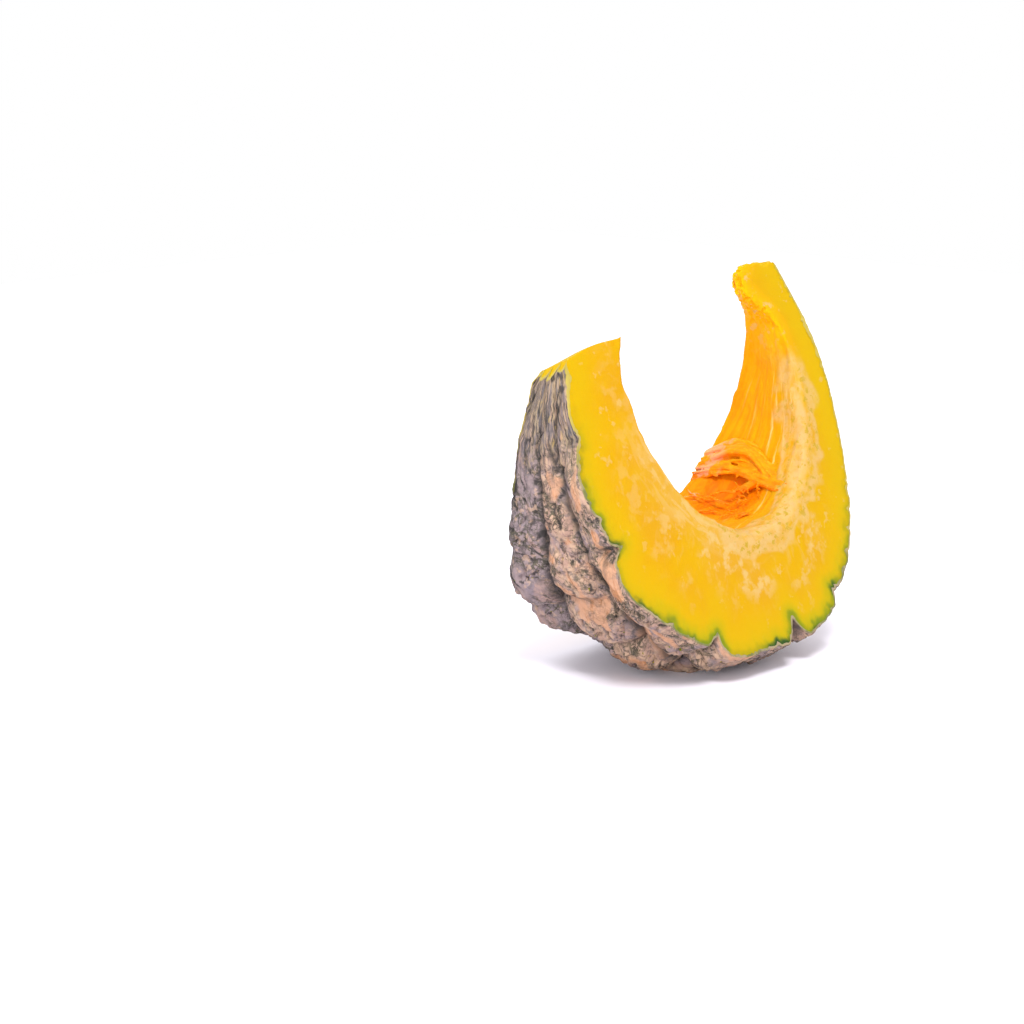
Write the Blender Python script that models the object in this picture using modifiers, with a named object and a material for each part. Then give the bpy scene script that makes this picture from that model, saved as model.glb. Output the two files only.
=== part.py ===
# One slice of a kabocha squash, cut from stem end to blossom end and standing on its rind.
# Metres, +Z up. The squash's own axis lies along +X, raised a little, and the cut faces look to -Y and +Y.
# Each shape is first made in the squash's frame, whose Z is that axis and whose +X points down at rest.
import bmesh
import bpy
import math
import numpy as np
from mathutils import Vector, noise

# The whole squash: a flat, ribbed and lumpy fruit with dished ends
EQUATOR_RADIUS = 0.1385
HALF_HEIGHT = 0.0745
SHOULDER_POWER = 2.3
SIDE_POWER = 3.2
DISH_DEPTH = 0.012
DISH_RADIUS = 0.050

# The seed hollow, a little off the middle and narrower near the axis, most at the stem end
HOLLOW_RADIUS = 0.0885
HOLLOW_HALF_LENGTH = 0.0483
HOLLOW_OFFSET = 0.0073
HOLLOW_LEAN = 0.0025
HOLLOW_SIDE_POWER = 3.1
STEM_NECK_SHARE = 0.53
STEM_NECK_RADIUS = 0.030
STEM_NECK_FLAT = 0.005
BLOSSOM_NECK_SHARE = 0.30
BLOSSOM_NECK_RADIUS = 0.033

# The two knife cuts, as angles about the axis, and how far off the axis each passes
FRONT_CUT = math.radians(-19.5)
BACK_CUT = math.radians(12.6)
FRONT_CUT_OFFSET = 0.0010
BACK_CUT_OFFSET = 0.0040
BACK_CUT_SKEW = 0.0312

# The trimmed ends of the two horns, as points on the cut and the way that the cut faces
BLOSSOM_CUT_POINT = Vector((0.0158, -0.0053, -0.066))
BLOSSOM_CUT_FACING = Vector((-1.0, 0.394, -0.159))
CORNER_CUT_POINT = Vector((0.0155, -0.004, -0.0652))
CORNER_CUT_FACING = Vector((-0.72, 0.30, -0.70))
STEM_CUT_POINT = Vector((-0.0056, 0.0, 0.050))
STEM_CUT_FACING = Vector((-1.0, 0.0, 0.10))
SCAR_POINT = Vector((0.0, 0.0, 0.0617))
SCAR_FACING = Vector((-0.42, 0.0, 1.0))

# Relief of the rind: ribs from end to end, each pinched into lumps, with small warts
RIB_COUNT = 28
FIRST_GROOVE = math.radians(-10.6)
RIB_WANDER = math.radians(1.1)
WANDER_LENGTH = 0.024
WANDER_PHASE = 3.0
WANDER_TURNS = 3.0
RIB_DEPTH_AT_EQUATOR = 0.0058
RIB_DEPTH_AT_ENDS = 0.0022
LUMP_PITCH = 0.0250
LUMP_START = 0.1647
LUMP_DEPTH = 0.0080
LUMP_STAGGER = 0.37
LUMP_EVENNESS = 0.75
LUMP_UNEVENNESS = 0.5
LUMP_SEED = Vector((1.7, 2.3, 0.5))
ROUNDNESS = 0.62
QUIET_RADIUS = 0.020
RELIEF_STARTS = 0.42
RELIEF_IS_FULL = 0.85
WART_SIZE = 0.0105
WART_HEIGHT = 0.0012
WART_SHARE_AT_ENDS = 0.3
SWELL_SIZE = 0.050
SWELL_HEIGHT = 0.0018
SWELL_SEED = Vector((4.0, 1.0, 2.0))

# The front rib has uneven lumps of its own, from the stem end on.
# Broad swells and dips: place along the outline, spread and height
FRONT_SWELLS = (
    (0.190, 0.028, -0.0040),
    (0.228, 0.020, -0.0030),
    (0.263, 0.012, 0.0045),
    (0.299, 0.010, 0.0035),
)
# Sharp clefts: place along the outline, half width and depth
FRONT_CLEFTS = (
    (0.131, 0.005, 0.0025),
    (0.163, 0.007, 0.0090),
    (0.214, 0.007, 0.0060),
    (0.276, 0.004, 0.0045),
    (0.317, 0.008, 0.0020),
)
CLEFT_POWER = 1.3
FRONT_LUMPS_START = math.radians(-60.0)
FRONT_LUMPS_TO = math.radians(-17.5)
FRONT_LUMPS_END = math.radians(-11.5)

# The ribs next to the back cut bulge near the blossom end and sink in on both sides of that bulge:
# angle and its spread in degrees, place along the outline and its spread, height
UNEVEN_SIDES = (
    (12.0, 8.0, 0.262, 0.026, 0.0056),
    (11.0, 8.5, 0.205, 0.030, -0.0085),
    (12.0, 9.0, 0.335, 0.030, -0.0022),
)

# Relief of the hollow's wall: grain, the pocket that the seeds have left and a shallow dip near the stem,
# as angle and its spread in degrees, place along the wall and its spread, depth
WALL_GRAIN = 0.012
WALL_ROUGHNESS = 0.0012
WALL_DIPS = (
    (3.0, 9.0, 0.091, 0.011, 0.0045),
    (13.0, 10.0, 0.052, 0.022, 0.0032),
)

# Pulp strands across the pocket: first and last angle in degrees, place along the wall, bow, lift, radius
STRANDS = (
    (-12.0, 18.0, 0.0850, -0.0100, 0.0030, 0.0022),
    (-14.0, 18.0, 0.0900, -0.0080, 0.0016, 0.0018),
    (-10.0, 18.0, 0.0810, -0.0105, 0.0010, 0.0016),
    (-16.0, -1.0, 0.0885, -0.0040, 0.0004, 0.0014),
)
STRAND_POINTS = 14
STRAND_WAVE = 0.0006
STRAND_WAVE_TURNS = 9.0
STRAND_WAVE_PHASE = 900.0
STRAND_SINK = 0.4
STRAND_END_SHARE = 0.7
STRAND_SETBACK = 0.0004
STRAND_MIDDLE_SHARE = 0.45

# Resting pose
AXIS_RISE = math.radians(1.3)
AXIS_PLACE = Vector((0.0, 0.0063, 0.1347))

# Mesh steps
OUTLINE_POINTS = 720
RIND_STEP = 0.0040
RIND_TURNS = 228
WALL_STEP = 0.0043
WALL_TURNS = 140
WELD = 0.00001
KNIFE_BLOCK = 0.4
END_BLOCK = 0.12

RIND_COLOUR = (0.36, 0.27, 0.20, 1.0)
FLESH_COLOUR = (0.92, 0.49, 0.012, 1.0)
RIND_ROUGHNESS = 0.62
FLESH_ROUGHNESS = 0.38


def clear_scene():
    for thing in list(bpy.data.objects):
        bpy.data.objects.remove(thing)


def new_collection(name):
    collection = bpy.data.collections.new(name)
    bpy.context.scene.collection.children.link(collection)
    return collection


def material(name, colour, roughness):
    made = bpy.data.materials.new(name)
    made.use_nodes = True
    shader = made.node_tree.nodes["Principled BSDF"]
    shader.inputs["Base Color"].default_value = colour
    shader.inputs["Roughness"].default_value = roughness
    shader.inputs["Metallic"].default_value = 0.0
    return made


def smooth_step(value, low, high):
    share = min(1.0, max(0.0, (value - low) / (high - low)))
    return share * share * (3.0 - 2.0 * share)


def superellipse(turn, radius, radius_power, half_length, length_power):
    # A turn of 0 is the upper end, and of pi the lower
    across = radius * max(0.0, math.sin(turn)) ** (2.0 / radius_power)
    up = half_length * abs(math.cos(turn)) ** (2.0 / length_power)
    return across, math.copysign(up, math.cos(turn))


def evened(points, step):
    # The same outline with its points spread evenly, about one step apart
    points = np.array(points)
    along = arc_lengths(points)
    places = np.linspace(0.0, along[-1], round(along[-1] / step) + 1)
    return np.stack([np.interp(places, along, points[:, k]) for k in (0, 1)], axis=1)


def arc_lengths(points):
    steps = np.hypot(*np.diff(points, axis=0).T)
    return np.concatenate([[0.0], np.cumsum(steps)])


def rind_outline():
    outline = []
    for k in range(OUTLINE_POINTS + 1):
        turn = math.pi * k / OUTLINE_POINTS
        radius, height = superellipse(turn, EQUATOR_RADIUS, SIDE_POWER, HALF_HEIGHT, SHOULDER_POWER)
        dish = DISH_DEPTH * max(0.0, 1.0 - radius / DISH_RADIUS) ** 2
        outline.append((radius, height - math.copysign(dish, height)))
    return evened(outline, RIND_STEP)


def hollow_outline():
    outline = []
    for k in range(OUTLINE_POINTS + 1):
        turn = math.pi * k / OUTLINE_POINTS
        radius, height = superellipse(turn, HOLLOW_RADIUS, HOLLOW_SIDE_POWER, HOLLOW_HALF_LENGTH, 2.0)
        if height > 0.0:
            inward = max(0.0, 1.0 - max(radius, STEM_NECK_FLAT) / STEM_NECK_RADIUS)
            neck = 1.0 - STEM_NECK_SHARE * inward ** 2
        else:
            inward = max(0.0, 1.0 - radius / BLOSSOM_NECK_RADIUS)
            neck = 1.0 - BLOSSOM_NECK_SHARE * inward ** 2
        lean = HOLLOW_LEAN * (radius / HOLLOW_RADIUS) ** 2
        outline.append((radius, HOLLOW_OFFSET + lean + height * neck))
    return evened(outline, WALL_STEP)


def turned(name, outline, turns):
    # The outline turned about Z into a closed mesh
    profile = bpy.data.meshes.new(name)
    edges = [(k, k + 1) for k in range(len(outline) - 1)]
    profile.from_pydata([(radius, 0.0, height) for radius, height in outline], edges, [])
    body = bpy.data.objects.new(name, profile)
    bpy.context.scene.collection.objects.link(body)
    screw = body.modifiers.new("turn", "SCREW")
    screw.steps = turns
    screw.render_steps = turns
    screw.use_merge_vertices = True
    screw.merge_threshold = WELD
    applied(body)
    return body


def applied(body):
    # The object's mesh becomes what its modifiers make of it
    graph = bpy.context.evaluated_depsgraph_get()
    finished = bpy.data.meshes.new_from_object(body.evaluated_get(graph))
    body.modifiers.clear()
    body.data = finished
    weld = bmesh.new()
    weld.from_mesh(finished)
    bmesh.ops.remove_doubles(weld, verts=weld.verts, dist=WELD)
    bmesh.ops.recalc_face_normals(weld, faces=weld.faces)
    weld.to_mesh(finished)
    weld.free()


def outline_reader(outline, middle):
    # Gives the arc length and the outward normal of an outline at an angle seen from its middle
    seen = np.arctan2(outline[:, 1] - middle, outline[:, 0])[::-1]
    arc = arc_lengths(outline)[::-1]
    slope = np.gradient(outline, axis=0)[::-1]
    slope /= np.hypot(*slope.T)[:, None]

    def read(radius, height):
        angle = math.atan2(height - middle, radius)
        out = -np.interp(angle, seen, slope[:, 1])
        up = np.interp(angle, seen, slope[:, 0])
        return float(np.interp(angle, seen, arc)), float(out), float(up)

    return read


def carved(body, outline, middle, relief):
    # Moves every point along the outline's normal by what the relief says
    read = outline_reader(outline, middle)
    for vertex in body.data.vertices:
        radius = math.hypot(vertex.co.x, vertex.co.y)
        angle = math.atan2(vertex.co.y, vertex.co.x)
        arc, out, up = read(radius, vertex.co.z)
        height = relief(angle, arc, vertex.co.copy())
        vertex.co += height * Vector((out * math.cos(angle), out * math.sin(angle), up))


def rind_relief(angle, arc, point):
    radius = math.hypot(point.x, point.y)
    fullness = smooth_step(radius / EQUATOR_RADIUS, RELIEF_STARTS, RELIEF_IS_FULL)
    phase = WANDER_PHASE * math.sin(WANDER_TURNS * angle)
    wander = RIB_WANDER * math.sin(arc / WANDER_LENGTH + phase)
    turn = (angle - FIRST_GROOVE + wander) * RIB_COUNT / math.tau
    rib = math.floor(turn)
    crown = abs(math.sin(math.pi * turn)) ** ROUNDNESS
    rib_depth = RIB_DEPTH_AT_ENDS + (RIB_DEPTH_AT_EQUATOR - RIB_DEPTH_AT_ENDS) * fullness
    lump = (arc - LUMP_START) / LUMP_PITCH + LUMP_STAGGER * (rib + 1)
    round_top = abs(math.sin(math.pi * lump)) ** ROUNDNESS
    chance = noise.noise(Vector((round(lump), rib, 1.0)) * LUMP_SEED)
    unequal = LUMP_EVENNESS + LUMP_UNEVENNESS * chance
    pinch = LUMP_DEPTH * fullness * unequal * (1.0 - round_top)
    wart_share = WART_SHARE_AT_ENDS + (1.0 - WART_SHARE_AT_ENDS) * fullness
    warts = WART_HEIGHT * wart_share * noise.noise(point / WART_SIZE)
    swell = SWELL_HEIGHT * noise.noise(point / SWELL_SIZE + SWELL_SEED)
    swell += sum(patch_height(angle, arc, *facts) for facts in UNEVEN_SIDES)
    lumps = -pinch
    if FRONT_LUMPS_START < angle < FRONT_LUMPS_END:
        share = 1.0 - smooth_step(angle, FRONT_LUMPS_TO, FRONT_LUMPS_END)
        lumps += share * (front_lumps(arc) - lumps)
    height = swell + warts + lumps - rib_depth * (1.0 - crown)
    return height * min(1.0, radius / QUIET_RADIUS)


def front_lumps(arc):
    height = 0.0
    for place, spread, swell in FRONT_SWELLS:
        off_place = (arc - place) / spread
        height += swell * math.exp(-off_place * off_place)
    for place, half_width, depth in FRONT_CLEFTS:
        closeness = max(0.0, 1.0 - abs(arc - place) / half_width)
        height -= depth * closeness ** CLEFT_POWER
    return height


def patch_height(angle, arc, middle, middle_spread, place, place_spread, height):
    # A smooth bump that is highest at one angle and one place along the outline
    off_angle = (math.degrees(angle) - middle) / middle_spread
    off_place = (arc - place) / place_spread
    return height * math.exp(-off_angle * off_angle - off_place * off_place)


def wall_relief(angle, arc, point):
    grain = WALL_ROUGHNESS * noise.noise(point / WALL_GRAIN)
    return grain + sum(patch_height(angle, arc, *facts) for facts in WALL_DIPS)


def knife_cut(name, angle, offset, side, skew):
    # The block that a knife takes away: it stands on a plane near the axis, on the outer side of the slice
    facing = Vector((-side * math.sin(angle), side * math.cos(angle), 0.0))
    point = facing * offset
    facing.z = -skew
    return block(name, point, facing, KNIFE_BLOCK)


def block(name, point, facing, size):
    # A cube that stands on the plane through the point, on the side that the cut faces
    cube = bmesh.new()
    bmesh.ops.create_cube(cube, size=size)
    mesh = bpy.data.meshes.new(name)
    cube.to_mesh(mesh)
    cube.free()
    made = bpy.data.objects.new(name, mesh)
    facing = facing.normalized()
    made.rotation_euler = facing.to_track_quat("Z", "Y").to_euler()
    made.location = point + facing * (size / 2)
    return made


def wall_point(read_wall, angle, place, lift):
    # The point of the hollow's wall at an angle and an arc length, lifted towards the hollow
    radius, height, out, up = read_wall(place)
    radius -= lift * out
    height -= lift * up
    return Vector((radius * math.cos(angle), radius * math.sin(angle), height))


def wall_reader(outline):
    arc = arc_lengths(outline)
    slope = np.gradient(outline, axis=0)
    slope /= np.hypot(*slope.T)[:, None]

    def read(place):
        radius, height = (float(np.interp(place, arc, outline[:, k])) for k in (0, 1))
        across, up = (float(np.interp(place, arc, slope[:, k])) for k in (0, 1))
        return radius, height, -up, across

    return read


def strand(name, read_wall, first, last, place, bow, lift, radius):
    curve = bpy.data.curves.new(name, "CURVE")
    curve.dimensions = "3D"
    curve.bevel_depth = radius
    curve.bevel_resolution = 1
    curve.use_fill_caps = True
    spline = curve.splines.new("POLY")
    spline.points.add(STRAND_POINTS - 1)
    for k, point in enumerate(spline.points):
        share = k / (STRAND_POINTS - 1)
        arch = math.sin(math.pi * share)
        angle = math.radians(first + (last - first) * share)
        wave = STRAND_WAVE * math.sin(STRAND_WAVE_TURNS * share + STRAND_WAVE_PHASE * place)
        above = lift * arch - radius * STRAND_SINK
        spot = wall_point(read_wall, angle, place + bow * arch + wave, above)
        point.co = (*spot, 1.0)
        point.radius = STRAND_END_SHARE + STRAND_MIDDLE_SHARE * arch
    made = bpy.data.objects.new(name, curve)
    bpy.context.scene.collection.objects.link(made)
    graph = bpy.context.evaluated_depsgraph_get()
    mesh = bpy.data.meshes.new_from_object(made.evaluated_get(graph))
    bpy.data.objects.remove(made)
    weld = bmesh.new()
    weld.from_mesh(mesh)
    bmesh.ops.remove_doubles(weld, verts=weld.verts, dist=WELD)
    bmesh.ops.recalc_face_normals(weld, faces=weld.faces)
    weld.to_mesh(mesh)
    weld.free()
    return bpy.data.objects.new(name, mesh)


def boolean(body, name, operation, other, solver="EXACT"):
    step = body.modifiers.new(name, "BOOLEAN")
    step.operation = operation
    step.solver = solver
    step.object = other


def as_cutter(other, cutters, frame):
    for collection in list(other.users_collection):
        collection.objects.unlink(other)
    cutters.objects.link(other)
    other.parent = frame
    other.hide_render = True
    other.display_type = "WIRE"
    return other


def build():
    clear_scene()
    parts = new_collection("kabocha_squash")
    cutters = new_collection("cutters")

    # The squash's axis, turned from upright to its place at rest
    frame = bpy.data.objects.new("squash_axis", None)
    frame.location = AXIS_PLACE
    frame.rotation_euler = (0.0, math.pi / 2 - AXIS_RISE, 0.0)
    parts.objects.link(frame)

    outline = rind_outline()
    squash = turned("squash_slice", outline, RIND_TURNS)
    carved(squash, outline, 0.0, rind_relief)
    wall = hollow_outline()
    hollow = turned("seed_hollow", wall, WALL_TURNS)
    carved(hollow, wall, HOLLOW_OFFSET, wall_relief)
    bpy.context.scene.collection.objects.unlink(squash)
    parts.objects.link(squash)
    squash.parent = frame

    cuts = (
        knife_cut("front_knife", FRONT_CUT, FRONT_CUT_OFFSET, -1.0, 0.0),
        knife_cut("back_knife", BACK_CUT, BACK_CUT_OFFSET, 1.0, BACK_CUT_SKEW),
        hollow,
        block("blossom_end_block", BLOSSOM_CUT_POINT, BLOSSOM_CUT_FACING, END_BLOCK),
        block("corner_block", CORNER_CUT_POINT, CORNER_CUT_FACING, END_BLOCK),
        block("stem_end_block", STEM_CUT_POINT, STEM_CUT_FACING, END_BLOCK),
        block("stem_scar_block", SCAR_POINT, SCAR_FACING, END_BLOCK),
    )
    for cutter in cuts:
        boolean(squash, cutter.name, "DIFFERENCE", as_cutter(cutter, cutters, frame))
    floor = block("floor_block", Vector(), Vector((0.0, 0.0, -1.0)), KNIFE_BLOCK)
    boolean(squash, "flat_spots", "DIFFERENCE", as_cutter(floor, cutters, None))

    read_wall = wall_reader(wall)
    trim = knife_cut("strand_trim", BACK_CUT, BACK_CUT_OFFSET - STRAND_SETBACK, 1.0, BACK_CUT_SKEW)
    as_cutter(trim, cutters, frame)
    for k, facts in enumerate(STRANDS):
        pulp = strand(f"pulp_strand_{k + 1}", read_wall, *facts)
        boolean(pulp, "trim", "DIFFERENCE", trim)
        boolean(squash, pulp.name, "UNION", as_cutter(pulp, cutters, frame), "MANIFOLD")

    squash.data.materials.clear()
    squash.data.materials.append(material("rind", RIND_COLOUR, RIND_ROUGHNESS))
    hollow.data.materials.append(material("flesh", FLESH_COLOUR, FLESH_ROUGHNESS))
    squash.data.shade_smooth()


build()
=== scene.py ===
import bpy
import bmesh
import math
import numpy as np
from mathutils import Matrix, Vector, noise
from mathutils.bvhtree import BVHTree


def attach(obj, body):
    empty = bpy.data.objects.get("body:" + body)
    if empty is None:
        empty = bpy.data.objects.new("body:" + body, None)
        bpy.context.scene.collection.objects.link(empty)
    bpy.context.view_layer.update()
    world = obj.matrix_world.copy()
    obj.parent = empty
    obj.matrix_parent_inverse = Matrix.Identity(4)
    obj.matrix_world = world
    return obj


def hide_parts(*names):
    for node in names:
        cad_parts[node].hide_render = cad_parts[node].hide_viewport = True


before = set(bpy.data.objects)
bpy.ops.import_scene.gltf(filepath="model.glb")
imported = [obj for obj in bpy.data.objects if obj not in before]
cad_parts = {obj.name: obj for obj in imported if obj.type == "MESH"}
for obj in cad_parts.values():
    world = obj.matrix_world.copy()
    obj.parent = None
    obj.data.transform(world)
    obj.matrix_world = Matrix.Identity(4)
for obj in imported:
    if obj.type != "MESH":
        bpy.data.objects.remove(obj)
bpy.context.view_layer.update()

# The squash's own axis at rest: local Z runs from blossom end to stem end, local X points down
restPose = {"axisRise": math.radians(1.3), "axisPlace": Vector((0.0, 0.0063, 0.1347))}
toWorld = Matrix.Translation(restPose["axisPlace"]) @ Matrix.Rotation(math.pi / 2 - restPose["axisRise"], 4, "Y")
toSquash = toWorld.inverted()
floorUp = (toSquash.to_3x3() @ Vector((0, 0, 1))).normalized()


def smoothStep(value, low, high):
    share = min(1.0, max(0.0, (value - low) / (high - low)))
    return share * share * (3.0 - 2.0 * share)


def patchHeight(angle, arc, middle, middleSpread, place, placeSpread, height):
    # a smooth bump, highest at one angle (degrees) and one place along the outline
    offAngle = (math.degrees(angle) - middle) / middleSpread
    offPlace = (arc - place) / placeSpread
    return height * math.exp(-offAngle * offAngle - offPlace * offPlace)


# Outlines of the whole squash and of its seed hollow
squashShape = {
    "equatorRadius": 0.1385, "halfHeight": 0.0745, "shoulderPower": 2.3, "sidePower": 3.2,
    "dishDepth": 0.012, "dishRadius": 0.050, "rindThickness": 0.0007, "foldThickness": 0.0012,
    "underGroove": 0.0013, "underCrease": 0.0032, "underCleft": 0.0013,
    "outlinePoints": 1440,
}
hollowShape = {
    "radius": 0.0885, "halfLength": 0.0483, "offset": 0.0073, "lean": 0.0025, "sidePower": 3.1,
    "stemNeckShare": 0.53, "stemNeckRadius": 0.030, "stemNeckFlat": 0.005,
    "blossomNeckShare": 0.30, "blossomNeckRadius": 0.033,
}


def superellipse(turn, radius, radiusPower, halfLength, lengthPower):
    across = radius * max(0.0, math.sin(turn)) ** (2.0 / radiusPower)
    up = halfLength * abs(math.cos(turn)) ** (2.0 / lengthPower)
    return across, math.copysign(up, math.cos(turn))


def arcLengths(points):
    steps = np.hypot(*np.diff(points, axis=0).T)
    return np.concatenate([[0.0], np.cumsum(steps)])


def evened(points, step):
    # the same outline with its points spread evenly
    points = np.array(points)
    along = arcLengths(points)
    places = np.linspace(0.0, along[-1], round(along[-1] / step) + 1)
    return np.stack([np.interp(places, along, points[:, k]) for k in (0, 1)], axis=1)


def rindOutline(step):
    shape = squashShape
    outline = []
    for k in range(shape["outlinePoints"] + 1):
        turn = math.pi * k / shape["outlinePoints"]
        radius, height = superellipse(
            turn, shape["equatorRadius"], shape["sidePower"], shape["halfHeight"], shape["shoulderPower"])
        dish = shape["dishDepth"] * max(0.0, 1.0 - radius / shape["dishRadius"]) ** 2
        outline.append((radius, height - math.copysign(dish, height)))
    return evened(outline, step)


def hollowOutline(step):
    shape = hollowShape
    outline = []
    for k in range(squashShape["outlinePoints"] + 1):
        turn = math.pi * k / squashShape["outlinePoints"]
        radius, height = superellipse(turn, shape["radius"], shape["sidePower"], shape["halfLength"], 2.0)
        if height > 0.0:
            inward = max(0.0, 1.0 - max(radius, shape["stemNeckFlat"]) / shape["stemNeckRadius"])
            neck = 1.0 - shape["stemNeckShare"] * inward ** 2
        else:
            inward = max(0.0, 1.0 - radius / shape["blossomNeckRadius"])
            neck = 1.0 - shape["blossomNeckShare"] * inward ** 2
        lean = shape["lean"] * (radius / shape["radius"]) ** 2
        outline.append((radius, shape["offset"] + lean + height * neck))
    return evened(outline, step)


def outlineNormals(outline):
    slope = np.gradient(outline, axis=0)
    slope /= np.hypot(*slope.T)[:, None]
    return np.stack([-slope[:, 1], slope[:, 0]], axis=1)


def outlineReader(outline, middle):
    # the arc length of an outline at a point, seen from its middle
    seen = np.arctan2(outline[:, 1] - middle, outline[:, 0])[::-1]
    arc = arcLengths(outline)[::-1]
    return lambda point: float(np.interp(
        math.atan2(point.z - middle, math.hypot(point.x, point.y)), seen, arc))


readRind = outlineReader(rindOutline(0.002), 0.0)
readWall = outlineReader(hollowOutline(0.002), hollowShape["offset"])

# Relief of the rind: ribs, each pinched into lumps, with warts; bark-like folds and grain come on top
rindLook = {
    "ribCount": 28, "firstGroove": math.radians(-10.6), "ribWander": math.radians(1.1), "wanderLength": 0.024,
    "ribDepthAtEquator": 0.0058, "ribDepthAtEnds": 0.0022,
    "lumpPitch": 0.0250, "lumpStart": 0.1647, "lumpDepth": 0.0080, "lumpStagger": 0.37,
    "roundness": 0.62, "reliefStarts": 0.42, "reliefIsFull": 0.85, "quietRadius": 0.020,
    "wartSize": 0.0105, "wartHeight": 0.0012, "swellSize": 0.050, "swellHeight": 0.0018,
    "foldWidth": 0.0052, "foldLength": 0.0125, "foldDepth": 0.0017, "crestHeight": 0.0012, "wartletSize": 0.0046,
    "wartletHeight": 0.0008, "grainSize": 0.0019, "grainHeight": 0.00045,
    "patchWidth": 0.0065, "patchLength": 0.019, "calm": 0.55, "calmAngles": (-19.0, -16.0),
    "hornPlaces": (0.290, 0.325),
}
unevenSides = (  # angle, spread, place along the outline, spread, height
    (12.0, 8.0, 0.262, 0.026, 0.0056),
    (11.0, 8.5, 0.205, 0.030, -0.0085),
    (12.0, 9.0, 0.335, 0.030, -0.0022),
)
frontRib = {  # swells as place, spread, height; clefts as place, half width, depth
    "start": math.radians(-60.0), "full": math.radians(-17.5), "end": math.radians(-11.5), "cleftPower": 1.3,
    "swells": ((0.190, 0.028, -0.0040), (0.228, 0.020, -0.0030), (0.263, 0.012, 0.0045), (0.299, 0.010, 0.0035)),
    "clefts": (
        (0.131, 0.005, 0.0025), (0.163, 0.007, 0.0090), (0.214, 0.007, 0.0060), (0.276, 0.004, 0.0045),
        (0.317, 0.008, 0.0020)),
}
stemScar = {"height": 0.0617, "slope": 0.42, "corkSize": 0.0018, "corkDepth": 0.0004}


def frontLumps(arc):
    # the height of the lumps, and how deep in a cleft between them the place is
    height, inCleft = 0.0, 0.0
    for place, spread, swell in frontRib["swells"]:
        offPlace = (arc - place) / spread
        height += swell * math.exp(-offPlace * offPlace)
    for place, halfWidth, depth in frontRib["clefts"]:
        closeness = max(0.0, 1.0 - abs(arc - place) / halfWidth)
        height -= depth * closeness ** frontRib["cleftPower"]
        inCleft = max(inCleft, closeness)
    return height, inCleft


def rindRelief(angle, arc, point):
    # the height of ribs and lumps, how deep in a groove the point is, and how much thicker the rind is there
    look = rindLook
    radius = math.hypot(point.x, point.y)
    fullness = smoothStep(radius / squashShape["equatorRadius"], look["reliefStarts"], look["reliefIsFull"])
    phase = 3.0 * math.sin(3.0 * angle)
    wander = look["ribWander"] * math.sin(arc / look["wanderLength"] + phase)
    turn = (angle - look["firstGroove"] + wander) * look["ribCount"] / math.tau
    rib = math.floor(turn)
    crown = abs(math.sin(math.pi * turn)) ** look["roundness"]
    ribDepth = look["ribDepthAtEnds"] + (look["ribDepthAtEquator"] - look["ribDepthAtEnds"]) * fullness
    lump = (arc - look["lumpStart"]) / look["lumpPitch"] + look["lumpStagger"] * (rib + 1)
    roundTop = abs(math.sin(math.pi * lump)) ** look["roundness"]
    unequal = 0.75 + 0.5 * noise.noise(Vector((round(lump) * 1.7, rib * 2.3, 0.5)))
    lumps = -look["lumpDepth"] * fullness * unequal * (1.0 - roundTop)
    share, inCleft = 0.0, 0.0
    warts = look["wartHeight"] * (0.3 + 0.7 * fullness) * noise.noise(point / look["wartSize"])
    swell = look["swellHeight"] * noise.noise(point / look["swellSize"] + Vector((4.0, 1.0, 2.0)))
    swell += sum(patchHeight(angle, arc, *facts) for facts in unevenSides)
    if frontRib["start"] < angle < frontRib["end"]:
        share = 1.0 - smoothStep(angle, frontRib["full"], frontRib["end"])
        frontHeight, inCleft = frontLumps(arc)
        lumps += share * (frontHeight - lumps)
    height = swell + warts + lumps - ribDepth * (1.0 - crown)
    creases = (1.0 - crown, (1.0 - share) * fullness * (1.0 - roundTop), share * inCleft)
    shape = squashShape
    under = (shape["underGroove"], shape["underCrease"], shape["underCleft"])
    thicker = max(most * crease ** 4 for most, crease in zip(under, creases))
    return height * min(1.0, radius / look["quietRadius"]), max(creases), thicker


def rindPattern(angle, arc, point):
    # fine relief of the skin, how deep in a fold the point is, and how much of a smooth patch covers it
    look = rindLook
    radius = math.hypot(point.x, point.y)
    fullness = smoothStep(radius / squashShape["equatorRadius"], 0.50, 0.88)
    across = angle * radius
    warp = noise.noise_vector(point / 0.010)
    patchSpot = Vector((across / look["patchWidth"], arc / look["patchLength"], 0.0)) + warp * 0.8
    patch = smoothStep(noise.noise(patchSpot + Vector((7.3, 3.1, 1.0))), 0.06, 0.42)
    hornward = smoothStep(arc, *look["hornPlaces"])
    foldPlace = arc - 0.6 * max(0.0, arc - look["hornPlaces"][0])
    foldSpot = Vector((across / look["foldWidth"], foldPlace / look["foldLength"], 0.0))
    foldSpot += warp * (1.5 - 0.9 * hornward)
    ridge = abs(noise.noise(foldSpot)) + 0.5 * abs(noise.noise(foldSpot * 2.1 + Vector((1.0, 5.0, 2.0))))
    fold = 1.0 - smoothStep(ridge, 0.02, 0.30)
    gaps, _ = noise.voronoi(point / look["wartletSize"] + warp * 0.35)
    wartlet = smoothStep(0.55 - gaps[0], 0.0, 0.45)
    plain = 1.0 - 0.65 * patch
    nearCut = 1.0 - smoothStep(math.degrees(angle), *look["calmAngles"])
    fullness = (0.45 + 0.55 * fullness) * (1.0 - look["calm"] * nearCut)
    height = (look["crestHeight"] * min(ridge, 0.8) - look["foldDepth"] * fold) * fullness * plain
    height += look["wartletHeight"] * fullness * (wartlet - 0.5) * plain
    height += look["grainHeight"] * noise.noise(point / look["grainSize"]) * (0.35 + 0.65 * plain)
    return height, fold * plain, patch


def pressedToFloor(point, above):
    # the lumps that the slice stands on are pressed flat at a height above the floor
    height = (toWorld @ point).z
    if height < above:
        return point + floorUp * (above - height)
    return point


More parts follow.
